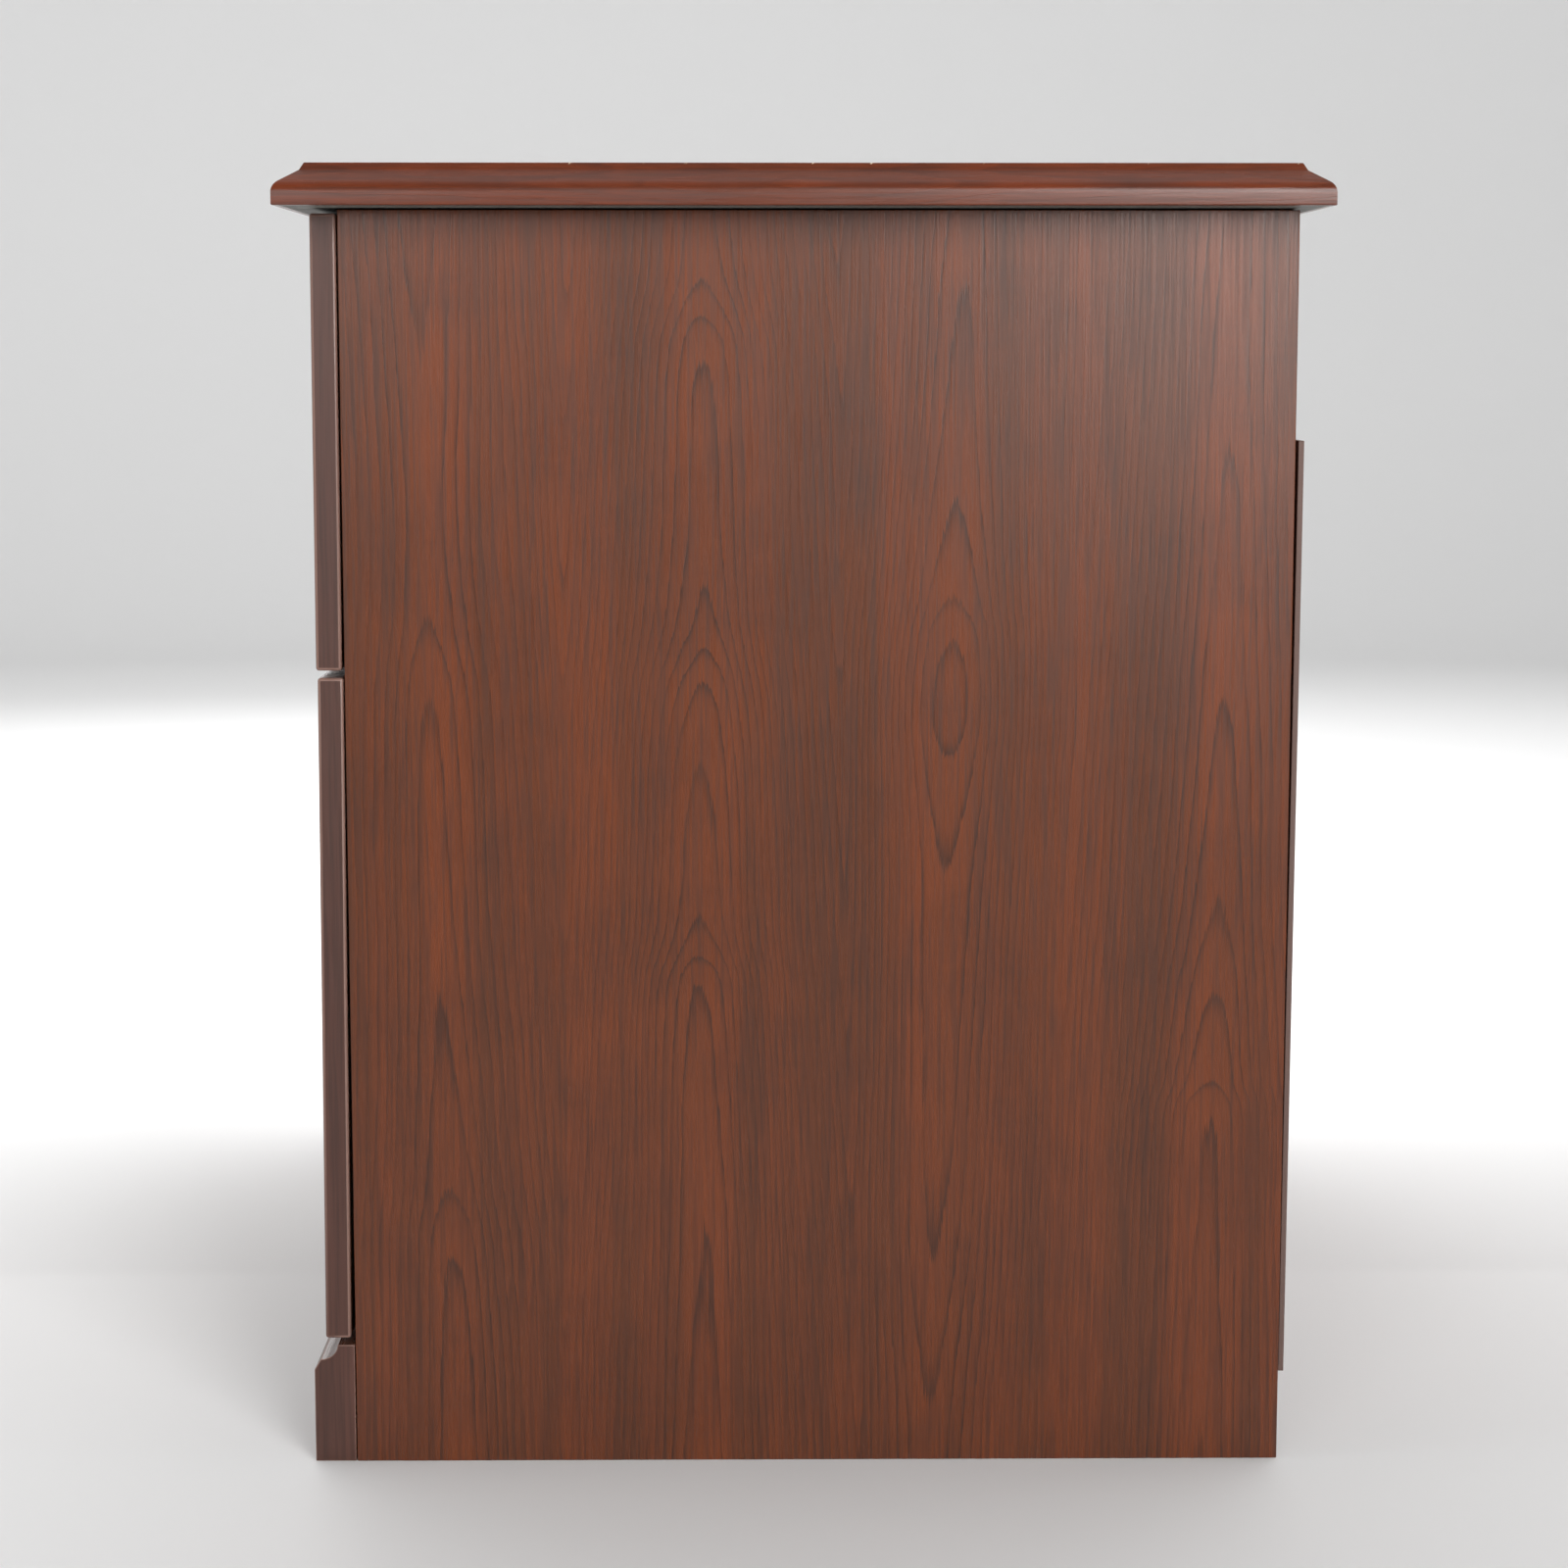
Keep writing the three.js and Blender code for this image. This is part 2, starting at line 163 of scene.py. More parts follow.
# Cathedral figure of the laminate, one entry for each flame: how far its centre line is
# from the board's front edge at the top and at the foot, and the heights at which the
# count of growth rings on that line reaches each level. All are in millimetres.
FIGURE_HEIGHT = 760.0
RING_LEVELS = 12.0
FLAMES = [
    (43, 60, [(0, 6.8), (128, 6), (169, 5), (277, 4), (452, 3), (503, 2), (560, 1.6),
              (640, 2), (760, 2.8)]),
    (206, 206, [(0, 11.6), (141, 11), (284, 10), (304, 9), (327, 8), (425, 7), (463, 6),
                (482, 5), (512, 4), (652, 3), (677, 2), (701, 1), (760, 0.2)]),
    (358, 340, [(0, 0.7), (50, 1), (137, 2), (341, 3), (419, 4), (450, 4.5), (488, 4),
                (513, 3), (566, 2), (694, 1), (760, 0.5)]),
    (512, 502, [(0, 7), (140, 6.3), (209, 6), (230, 5), (283, 4), (329, 3), (453, 2),
                (577, 1), (760, 0.4)]),
]
FLAME_WIDTH = 20.0  # where a flame's flanks straighten out
FLAME_STEEPNESS = 4.6  # rings lost per flame width on a straight flank
PEAKS_LEFT = 0.25  # how much of a flame's peaks its flanks still follow
SEAM_SOFTNESS = 3.0  # in rings
FIGURE_PERIOD = 560.0  # the figure is mirrored past this width

# Noise fields: size across the grain and along it in millimetres, seed, detail, roughness.
DRIFT_FIELD = (70.0, 420.0, 3.1)
RIPPLE_FIELD = (14.0, 130.0, 7.7)
WANDER_FIELD = (30.0, 130.0, 1.3)
FRAY_FIELD = (0.9, 45.0, 5.1)
PRESENCE_FIELD = (22.0, 120.0, 9.2, 1.0)
BAND_FIELD = (30.0, 900.0, 2.2, 2.0, 0.6)
PORE_FIELD = (1.5, 70.0, 4.4, 2.0, 0.6)
FIBRE_FIELD = (0.55, 14.0, 6.6, 1.0)
SMUDGE_FIELD = (16.0, 5.0, 5.5, 3.0, 0.6)
SMUDGE_AREA_FIELD = (60.0, 70.0, 8.8, 1.0)

# How far each field moves the figure, from one extreme to the other.
DRIFT = 14.0  # millimetres
RIPPLE = 3.2
WANDER = 0.7  # rings
FRAY = 0.32


def add_swing(g, value, field, amount):
    """`value` plus a noise field that swings by `amount` in all."""
    swing = g.math("MULTIPLY", g.math("SUBTRACT", field, 0.5), amount)
    return g.math("ADD", value, swing)


def flame_rings(g, warped, height, top, foot, levels):
    """One flame's ring count, and how near its centre line is: 1 on it, falling to 0."""
    centre = g.math("MULTIPLY_ADD", height, float(top - foot), float(foot))
    offset = g.math("DIVIDE", g.math("SUBTRACT", warped, centre), FLAME_WIDTH)
    flank = g.math("SQRT", g.math("MULTIPLY_ADD", offset, offset, 1.0))
    points = [(z / FIGURE_HEIGHT, level / RING_LEVELS) for z, level in levels]
    on_centre = g.math("MULTIPLY", g.curve(height, points), RING_LEVELS)
    # Away from the centre line the rings forget its peaks and run straighter.
    foot_level, top_level = float(levels[0][1]), float(levels[-1][1])
    straight = g.math("MULTIPLY_ADD", height, top_level - foot_level, foot_level)
    memory = g.ramp(flank, 1.2, 3.2, 1.0, PEAKS_LEFT)
    peaks = g.math("MULTIPLY", g.math("SUBTRACT", on_centre, straight), memory)
    count = g.math("ADD", straight, peaks)
    lowered = g.math("MULTIPLY_ADD", flank, -FLAME_STEEPNESS, FLAME_STEEPNESS)
    near = g.math("DIVIDE", 1.0, g.math("MULTIPLY", flank, flank))
    return g.math("ADD", count, lowered), near


def wood_group():
    """Node group: place across and along the grain, in metres, to what the grain does there."""
    tree = bpy.data.node_groups.new("wood_figure", "ShaderNodeTree")
    for name in ("Across", "Along"):
        tree.interface.new_socket(name, in_out="INPUT", socket_type="NodeSocketFloat")
    for name in ("Rings", "Glow", "Heart", "Bands", "Pores", "Smudge", "Fibre"):
        tree.interface.new_socket(name, in_out="OUTPUT", socket_type="NodeSocketFloat")
    g = Graph(tree)
    entry = tree.nodes.new("NodeGroupInput")
    across_raw = g.math("MULTIPLY", entry.outputs["Across"], 1000.0)
    along_raw = g.math("MULTIPLY", entry.outputs["Along"], 1000.0)
    across = g.math("PINGPONG", across_raw, FIGURE_PERIOD)
    along = g.math("PINGPONG", along_raw, FIGURE_HEIGHT)
    height = g.math("DIVIDE", along, FIGURE_HEIGHT)

    def field(width, length, seed, detail=2.0, roughness=0.5):
        place = g.vector(
            g.math("DIVIDE", across_raw, width), g.math("DIVIDE", along_raw, length), seed,
        )
        return g.noise(place, detail, roughness)

    warped = add_swing(g, across, field(*DRIFT_FIELD), DRIFT)
    warped = add_swing(g, warped, field(*RIPPLE_FIELD), RIPPLE)
    rings = None
    nearness = None
    for top, foot, levels in FLAMES:
        flame, near = flame_rings(g, warped, height, top, foot, levels)
        rings = flame if rings is None else g.math("SMOOTH_MAX", rings, flame, SEAM_SOFTNESS)
        nearness = near if nearness is None else g.math("MAXIMUM", nearness, near)
    rings = add_swing(g, rings, field(*WANDER_FIELD), WANDER)
    rings = add_swing(g, rings, field(*FRAY_FIELD), FRAY)

    # Each ring starts with a dark line that fades, and ends in a glow before the next line.
    # Lines are sharper and stronger near a flame's centre line.
    phase = g.math("FRACT", g.math("ADD", rings, 20.0))  # 20 keeps the count above zero
    sharpness = g.ramp(nearness, 0.2, 1.0, 4.5, 8.0)
    line = g.math("POWER", g.math("SUBTRACT", 1.0, phase), sharpness)
    strength = g.ramp(nearness, 0.05, 0.6, 0.52, 1.0)
    softened = g.math("MULTIPLY", g.math("MULTIPLY", line, g.ramp(phase, 0.0, 0.05)), strength)
    presence = g.ramp(field(*PRESENCE_FIELD), 0.32, 0.6, 0.5, 1.0)
    found = {
        "Rings": g.math("MULTIPLY", softened, presence),
        "Glow": g.math("MULTIPLY", g.math("POWER", phase, 5.0), presence),
        "Heart": g.math(
            "MULTIPLY", g.ramp(nearness, 0.3, 0.9), g.ramp(phase, 0.0, 0.3, 0.3, 1.0),
        ),
        "Bands": field(*BAND_FIELD),
        "Pores": field(*PORE_FIELD),
        "Smudge": g.math(
            "MULTIPLY", field(*SMUDGE_FIELD), g.ramp(field(*SMUDGE_AREA_FIELD), 0.42, 0.64),
        ),
        "Fibre": field(*FIBRE_FIELD),
    }
    leave = tree.nodes.new("NodeGroupOutput")
    for name, value in found.items():
        tree.links.new(value, leave.inputs[name])
    return tree


WOOD_GROUP = wood_group()

# How a board's grain lies: which object axis runs along it. Across it goes the sum of the
# two other axes, so each face of the board shows straight grain of its own.
AXES = "XYZ"


def grain(graph, along_axis, across_shift=0.0, along_shift=0.0):
    place = graph.node("ShaderNodeTexCoord").outputs["Object"]
    split = graph.node("ShaderNodeSeparateXYZ", {"Vector": place}).outputs
    others = [split[axis] for axis in AXES if axis != along_axis]
    across = graph.math("ADD", graph.math("ADD", *others), across_shift)
    along = graph.math("ADD", split[along_axis], along_shift)
    found = graph.node("ShaderNodeGroup", node_tree=WOOD_GROUP)
    graph.feed(found.inputs["Across"], across)
    graph.feed(found.inputs["Along"], along)
    return found.outputs, split


LAMINATE = {
    "deep": rgb(0.080, 0.026, 0.0105),
    "body": rgb(0.114, 0.030, 0.0105),
    "glow": rgb(0.152, 0.036, 0.0105),
    "line": rgb(0.024, 0.012, 0.0085),
    # Greyer than the faces: the banding's own colour with a painted grey sheen in it.
    "edge": rgb(0.085, 0.034, 0.0240),
    # Painted highlight laid along the rounded arrises.
    "arris_highlight": rgb(0.210, 0.120, 0.0950),
    "chip": rgb(0.520, 0.420, 0.3000),
}


def laminate(name, along_axis, across_shift=0.0, along_shift=0.0, figure=1.0, shade=1.0,
             redness=1.0, chips_above=None):
    """Printed cherry laminate under a satin overlay.

    `redness` divides its green and blue. `chips_above` is a height, in metres, above which
    the arris has small pale chips.
    """
    material, g, shader = new_material(name, Specular_IOR_Level=0.34)
    found, split = grain(g, along_axis, across_shift, along_shift)
    tone = g.ramp(found["Bands"], 0.34, 0.66)
    colour = g.mix(tone, LAMINATE["deep"], LAMINATE["glow"])
    colour = g.mix(0.5, colour, LAMINATE["body"])
    for part, amount in (("Heart", 0.5), ("Glow", 0.42)):
        share = g.math("MULTIPLY", found[part], amount * figure)
        colour = g.mix(share, colour, LAMINATE["glow"])
    pores = g.ramp(found["Pores"], 0.3, 0.58, 0.42, 0.0)
    colour = g.mix(pores, colour, LAMINATE["line"])
    rings = g.math("MULTIPLY", found["Rings"], figure)
    colour = g.mix(rings, colour, LAMINATE["line"])
    smudge = g.math("MULTIPLY", found["Smudge"], 0.26)
    colour = g.mix(smudge, colour, LAMINATE["line"])
    fibre = g.ramp(found["Fibre"], 0.3, 0.7, 0.93 * shade, 1.07 * shade)
    cool = g.math("DIVIDE", fibre, redness)
    colour = g.mix(1.0, colour, g.vector(fibre, cool, cool), blend="MULTIPLY")
    if chips_above is not None:
        length = g.math("MULTIPLY", g.math("ADD", split["X"], split["Y"]), 260.0)
        chip = g.ramp(g.noise(g.vector(length, 0.0, 3.3), 3.0), 0.655, 0.68)
        high_up = g.ramp(split["Z"], chips_above, chips_above + 0.0003)
        colour = g.mix(g.math("MULTIPLY", chip, high_up), colour, LAMINATE["chip"])
    g.feed(shader.inputs["Base Color"], colour)
    g.feed(shader.inputs["Roughness"], g.ramp(found["Pores"], 0.3, 0.7, 0.33, 0.25))
    relief = g.math("MULTIPLY_ADD", found["Rings"], -0.5, found["Pores"])
    g.feed(shader.inputs["Normal"], g.bump(relief, 0.00005))
    return material


def edge_band(name, along_axis, across_shift=0.0, shade=1.0):
    """Plastic edge banding: a plainer print than the faces it runs beside, greyer from a painted
    sheen.
    """
    material, g, shader = new_material(name, Specular_IOR_Level=0.36)
    found, _ = grain(g, along_axis, across_shift)
    # The greyish edge colour, in lighter and darker bands, holds a painted grey sheen.
    light = [channel * 1.22 * shade for channel in LAMINATE["edge"][:3]]
    dark = [channel * 0.80 * shade for channel in LAMINATE["edge"][:3]]
    colour = g.mix(g.ramp(found["Bands"], 0.3, 0.7), rgb(*dark), rgb(*light))
    pores = g.ramp(found["Pores"], 0.32, 0.6, 0.4, 0.0)
    colour = g.mix(pores, colour, LAMINATE["line"])
    g.feed(shader.inputs["Base Color"], colour)
    g.feed(shader.inputs["Roughness"], g.ramp(found["Fibre"], 0.3, 0.7, 0.34, 0.44))
    g.feed(shader.inputs["Normal"], g.bump(found["Pores"], 0.00005))
    return material


def arris(name, along_axis):
    """The same banding with a painted highlight on its rounded edges: paler colour laid on in random
    bands.
    """
    material, g, shader = new_material(name, Specular_IOR_Level=0.4)
    found, _ = grain(g, along_axis, 0.37)
    # Painted highlight: band noise lays the pale colour along the rounded edges.
    highlight_share = g.ramp(found["Bands"], 0.3, 0.62)
    g.feed(shader.inputs["Base Color"], g.mix(highlight_share, LAMINATE["edge"], LAMINATE["arris_highlight"]))
    g.feed(shader.inputs["Roughness"], g.ramp(found["Pores"], 0.3, 0.7, 0.3, 0.5))
    g.feed(shader.inputs["Normal"], g.bump(found["Fibre"], 0.00005))
    return material


def backer(name):
    """Plain sealed underside of the top, duller than the printed faces."""
    material, g, shader = new_material(name, Specular_IOR_Level=0.2)
    found, _ = grain(g, "Y")
    tone = g.ramp(found["Bands"], 0.3, 0.7)
    colour = g.mix(tone, rgb(0.150, 0.148, 0.136), rgb(0.200, 0.196, 0.180))
    g.feed(shader.inputs["Base Color"], colour)
    g.feed(shader.inputs["Roughness"], g.ramp(found["Pores"], 0.3, 0.7, 0.55, 0.75))
    g.feed(shader.inputs["Normal"], g.bump(found["Pores"], 0.00008))
    return material


def drawer_board(name, along_axis, across_shift=0.0):
    """Pale maple print on the drawer boxes' thin boards."""
    material, g, shader = new_material(name, IOR=1.45)
    found, _ = grain(g, along_axis, across_shift)
    colour = g.mix(found["Bands"], rgb(0.50, 0.36, 0.21), rgb(0.62, 0.47, 0.29))
    colour = g.mix(g.ramp(found["Pores"], 0.3, 0.6, 0.3, 0.0), colour, rgb(0.36, 0.24, 0.13))
    ring = g.math("MULTIPLY", found["Rings"], 0.45)
    colour = g.mix(ring, colour, rgb(0.34, 0.21, 0.11))
    g.feed(shader.inputs["Base Color"], colour)
    g.feed(shader.inputs["Roughness"], g.ramp(found["Pores"], 0.3, 0.7, 0.62, 0.5))
    g.feed(shader.inputs["Normal"], g.bump(found["Pores"], 0.00006))
    return material


def hardboard(name):
    """Printed hardboard: the laminate's colour, duller, with pressed fibres at its edges painted
    paler and greyer as a reflection.
    """
    material, g, shader = new_material(name, IOR=1.45)
    found, split = grain(g, "Z", 0.13)
    place = g.node("ShaderNodeTexCoord").outputs["Object"]
    flecks = g.node("ShaderNodeTexNoise", {"Vector": place, "Scale": 900.0, "Detail": 3.0})
    colour = g.mix(found["Bands"], rgb(0.10, 0.035, 0.022), rgb(0.17, 0.055, 0.03))
    colour = g.mix(g.ramp(found["Pores"], 0.3, 0.6, 0.4, 0.0), colour, rgb(0.06, 0.025, 0.017))
    # Painted reflection: the pressed fibres at the side edges are painted paler and greyer.
    rim = g.math("ABSOLUTE", split["X"])
    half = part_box("back_panel")[1].x
    on_edge = g.ramp(rim, half - 0.0008, half - 0.0002)
    raw_edge_and_reflection = g.mix(flecks.outputs["Fac"], rgb(0.085, 0.045, 0.036), rgb(0.14, 0.085, 0.070))
    g.feed(shader.inputs["Base Color"], g.mix(on_edge, colour, raw_edge_and_reflection))
    g.feed(shader.inputs["Roughness"], g.ramp(flecks.outputs["Fac"], 0.3, 0.7, 0.55, 0.75))
    g.feed(shader.inputs["Normal"], g.bump(flecks.outputs["Fac"], 0.0001))
    return material


def metal(name, colour, dark, roughness, scale):
    """Plated metal with cloudy tarnish and fine handling marks."""
    material, g, shader = new_material(name, Metallic=1.0)
    place = g.node("ShaderNodeTexCoord").outputs["Object"]
    cloud = g.node("ShaderNodeTexNoise", {"Vector": place, "Scale": scale, "Detail": 4.0})
    fine = g.node("ShaderNodeTexNoise", {"Vector": place, "Scale": scale * 22, "Detail": 2.0})
    patch = g.ramp(cloud.outputs["Fac"], 0.35, 0.65)
    g.feed(shader.inputs["Base Color"], g.mix(patch, dark, colour))
    rubbed = g.math("MULTIPLY_ADD", fine.outputs["Fac"], 0.16, roughness - 0.08)
    g.feed(shader.inputs["Roughness"], rubbed)
    g.feed(shader.inputs["Normal"], g.bump(fine.outputs["Fac"], 0.00003))
    return material


# ---------------------------------------------------------------- mesh pieces

FACING = 0.7  # the least part of a face's normal along the axis that it looks along


def piece(name, bm, body, materials, replaces=()):
    """Turns a finished bmesh into a shown piece on its body."""
    bmesh.ops.recalc_face_normals(bm, faces=bm.faces)
    mesh = bpy.data.meshes.new(name)
    bm.to_mesh(mesh)
    bm.free()
    obj = bpy.data.objects.new(name, mesh)
    bpy.context.scene.collection.objects.link(obj)
    for material in materials:
        mesh.materials.append(material)
    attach(obj, body)
    if replaces:
        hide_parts(*replaces)


def body_of(node):
    for body, nodes in frame["record"]["behaviour"]["bodies"].items():
        if node in nodes:
            return body
    raise KeyError(node)


def round_sharp_edges(bm, radius, segments=3, angle=25):
    """Rounds every edge that is sharper than `angle` degrees and smooths the new strips."""
    for face in bm.faces:
        face.smooth = False
    sharp = [
        edge for edge in bm.edges
        if len(edge.link_faces) == 2 and edge.calc_face_angle(0) > math.radians(angle)
    ]
    made = bmesh.ops.bevel(
        bm, geom=sharp, offset=radius, offset_type="OFFSET", segments=segments,
        profile=0.5, affect="EDGES", clamp_overlap=True,
    )
    for face in made["faces"]:
        face.smooth = True


def rounded(node, radius, materials, hull=False, segments=3, end_axis=None):
    """The CAD node's own shape with softened arrises. With `hull`, its holes are closed.

    With `end_axis`, faces that look along it take the second material and the softened
    arrises take the third.
    """
    bm = bmesh.new()
    bm.from_mesh(frame["nodes"][node].data)
    bmesh.ops.remove_doubles(bm, verts=bm.verts, dist=1e-6)
    if hull:
        made = bmesh.ops.convex_hull(bm, input=bm.verts)
        inside = {v for v in made["geom_interior"] if isinstance(v, bmesh.types.BMVert)}
        inside |= {v for v in made["geom_unused"] if isinstance(v, bmesh.types.BMVert)}
        bmesh.ops.delete(bm, geom=list(inside), context="VERTS")
    flat = math.radians(0.5)
    bmesh.ops.dissolve_limit(bm, angle_limit=flat, verts=bm.verts, edges=bm.edges)
    round_sharp_edges(bm, radius, segments)
    if end_axis is not None:
        bm.normal_update()
        for face in bm.faces:
            if face.smooth:
                face.material_index = 2
            elif abs(face.normal[end_axis]) > FACING:
                face.material_index = 1
    piece(f"{node}_shown", bm, body_of(node), materials, [node])


def filleted(corners, steps=6):
    """A polyline whose corners, given as (a, b, radius), are rounded by arcs."""
    points = []
    for index, (a, b, radius) in enumerate(corners):
        here = Vector((a, b))
        if radius <= 0 or index in (0, len(corners) - 1):
            points.append(here)
            continue
        before = (Vector(corners[index - 1][:2]) - here).normalized()
        after = (Vector(corners[index + 1][:2]) - here).normalized()
        half = before.angle(after) / 2
        reach = radius / math.tan(half)
        centre = here + (before + after).normalized() * (radius / math.sin(half))
        start = here + before * reach - centre
        end = here + after * reach - centre
        turn = start.angle_signed(end)
        for step in range(steps + 1):
            angle = -turn * step / steps
            spun = Vector((
                start.x * math.cos(angle) - start.y * math.sin(angle),
                start.x * math.sin(angle) + start.y * math.cos(angle),
            ))
            points.append(centre + spun)
    return points


# ---------------------------------------------------------------- top

TOP_LIP = 11.25 * MM  # where the lip's line meets the slope's line
TOP_QUARTER_ROUND = 7.6 * MM
TOP_SLOPE_INSET = 14.3 * MM
TOP_SLOPE_HEIGHT = 20.0 * MM
TOP_SLOPE_HOLLOW = 1.6 * MM  # radius between the slope and the small step
TOP_STEP_INSET = 16.8 * MM
TOP_STEP_ARRIS = 1.0 * MM
TOP_LOWER_ARRIS = 0.7 * MM
TOP_MARGIN = 4 * MM  # the strip beside an arris, on the upper and lower faces


def add_top(materials):
    """The moulded slab: one ring of four corners for each point of the edge profile."""
    low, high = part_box("top")
    thickness = high.z - low.z
    profile = filleted([
        (TOP_MARGIN, 0, 0),
        (0, 0, TOP_LOWER_ARRIS),
        (0, TOP_LIP, TOP_QUARTER_ROUND),
        (TOP_SLOPE_INSET, TOP_SLOPE_HEIGHT, TOP_SLOPE_HOLLOW),
        (TOP_STEP_INSET, thickness, TOP_STEP_ARRIS),
        (TOP_STEP_INSET + TOP_MARGIN, thickness, 0),
    ], steps=8)
    bm = bmesh.new()
    rings = []
    for inset, height in profile:
        corners = [
            (low.x + inset, low.y + inset), (high.x - inset, low.y + inset),
            (high.x - inset, high.y - inset), (low.x + inset, high.y - inset),
        ]
        rings.append([bm.verts.new((x, y, low.z + height)) for x, y in corners])
    for lower, upper in zip(rings, rings[1:]):
        for side in range(4):
            ahead = (side + 1) % 4
            face = bm.faces.new((lower[side], lower[ahead], upper[ahead], upper[side]))
            face.smooth = True
            face.material_index = 1 if side % 2 == 0 else 2
    field = bm.faces.new(rings[-1])
    field.material_index = 0
    under = bm.faces.new(rings[0][::-1])
    under.material_index = 3
    bmesh.ops.recalc_face_normals(bm, faces=bm.faces)
    for edge in bm.edges:
        sides = [face.material_index for face in edge.link_faces]
        if len(set(sides)) > 1 and edge.calc_face_angle(0) > math.radians(8):
            edge.smooth = False
    piece("top_shown", bm, body_of("top"), materials, ["top"])


# ---------------------------------------------------------------- base rail

BASE_CHAMFER_DEPTH = 3.8 * MM
BASE_CHAMFER_BOTTOM = 56 * MM
BASE_CHAMFER_TOP = 62.3 * MM
BASE_FLAT = 10.8 * MM  # from the carcass's front edges to the cove
BASE_FIT = 0.3 * MM  # the CAD rail's gap to the carcass
BASE_JOINT = 0.4 * MM  # opens the joint line beside the side boards
BASE_ARRIS = 0.5 * MM
COVE_STEPS = 20
COVE_STRIP_AREA = 0.0012  # square metres: above any one strip of the cove, below a flat side


def add_base_rail(materials):
    low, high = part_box("base_front_rail")
    carcass_front = high.y + BASE_FIT
    high.y -= BASE_JOINT
    cove_start = low.y + BASE_CHAMFER_DEPTH
    cove_end = carcass_front - BASE_FLAT
    cove_height = high.z - BASE_CHAMFER_TOP
    outline = [(high.y, low.z), (low.y, low.z), (low.y, low.z + BASE_CHAMFER_BOTTOM)]
    for step in range(COVE_STEPS + 1):
        angle = (1 - step / COVE_STEPS) * math.pi / 2
        y = cove_start + (cove_end - cove_start) * math.cos(angle)
        outline.append((y, high.z - cove_height * math.sin(angle)))
    outline.append((high.y, high.z))
    bm = bmesh.new()
    ends = [[bm.verts.new((x, y, z)) for y, z in outline] for x in (low.x, high.x)]
    count = len(outline)
    for index in range(count):
        ahead = (index + 1) % count
        bm.faces.new((ends[0][index], ends[0][ahead], ends[1][ahead], ends[1][index]))
    bm.faces.new(ends[0][::-1])
    bm.faces.new(ends[1])
    bmesh.ops.recalc_face_normals(bm, faces=bm.faces)
    cove = [
        face for face in bm.faces
        if len(face.verts) == 4 and face.calc_area() < COVE_STRIP_AREA
    ]
    round_sharp_edges(bm, BASE_ARRIS)
    bm.normal_update()
    for face in bm.faces:
        if face.smooth:
            face.material_index = 2
        elif abs(face.normal.x) > FACING:
            face.material_index = 1
    for face in cove:
        if face.is_valid:
            face.smooth = True
    node = "base_front_rail"
    piece("base_front_rail_shown", bm, body_of(node), materials, [node])


# ---------------------------------------------------------------- pulls

PULL_STEPS = 48
PULL_SECTION = 20
PULL_HALF_HEIGHT = 4.9 * MM
PULL_HALF_DEPTH = 2.9 * MM
PULL_WAIST = 0.22  # how much slimmer the bar is in its middle
PULL_SHOULDER = 0.12  # how far its shoulders stand out past its feet
PULL_FLATNESS = 0.62  # below 1 the bow rises steeply and runs flat
PULL_NUDGE = 0.004  # the part of the bow over which its direction is measured
PULL_SINK = 1 * MM  # how deep the bar's ends are in its feet
PULL_REACH_SPARE = 4.1 * MM  # keeps the bar's own thickness inside the CAD pull's box
PULL_FOOT_SEGMENTS = 32
PULL_SCREWS = 4  # on each drawer


def add_pull(node, material):
    """A bow pull: an oval bar whose waist is slimmer than its ends, on two turned feet."""
    low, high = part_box(node)
    centre_x = (low.x + high.x) / 2
    centre_z = (low.z + high.z) / 2
    face_y = high.y
    foot_radius = (high.z - low.z) / 2
    half_span = (high.x - low.x) / 2 - foot_radius
    reach = (face_y - low.y) - PULL_REACH_SPARE
    bm = bmesh.new()

    def arch(t):
        bulge = 4 * t * (1 - t)
        spread = (2 * t - 1) * (1 + PULL_SHOULDER * bulge)
        depth = reach * bulge ** PULL_FLATNESS
        return Vector((centre_x + half_span * spread, face_y - PULL_SINK - depth, centre_z))

    rings = []
    for step in range(PULL_STEPS + 1):
        t = step / PULL_STEPS
        here = arch(t)
        ahead = arch(min(t + PULL_NUDGE, 1)) - arch(max(t - PULL_NUDGE, 0))
        ahead.normalize()
        across = Vector((0, 0, 1))
        out = across.cross(ahead).normalized()
        half_height = PULL_HALF_HEIGHT * (1 - PULL_WAIST * math.sin(math.pi * t))
        ring = []
        for corner in range(PULL_SECTION):
            angle = 2 * math.pi * corner / PULL_SECTION
            rise = across * (half_height * math.cos(angle))
            swell = out * (PULL_HALF_DEPTH * math.sin(angle))
            ring.append(bm.verts.new(here + rise + swell))
        rings.append(ring)
    for one, two in zip(rings, rings[1:]):
        for corner in range(PULL_SECTION):
            after = (corner + 1) % PULL_SECTION
            face = bm.faces.new((one[corner], one[after], two[after], two[corner]))
            face.smooth = True
    bm.faces.new(rings[0][::-1])
    bm.faces.new(rings[-1])

    turning = filleted([
        (foot_radius, 0, 0), (foot_radius, 1.6 * MM, 0.8 * MM), (5.6 * MM, 2.4 * MM, 0.5 * MM),
        (5.0 * MM, 4.6 * MM, 1.2 * MM), (0.01 * MM, 5.2 * MM, 0),
    ], steps=5)
    for side in (-1, 1):
        centre = Vector((centre_x + side * half_span, face_y, centre_z))
        lathe(bm, centre, Vector((0, -1, 0)), turning, PULL_FOOT_SEGMENTS)
    piece(f"{node}_shown", bm, body_of(node), [material], [node])


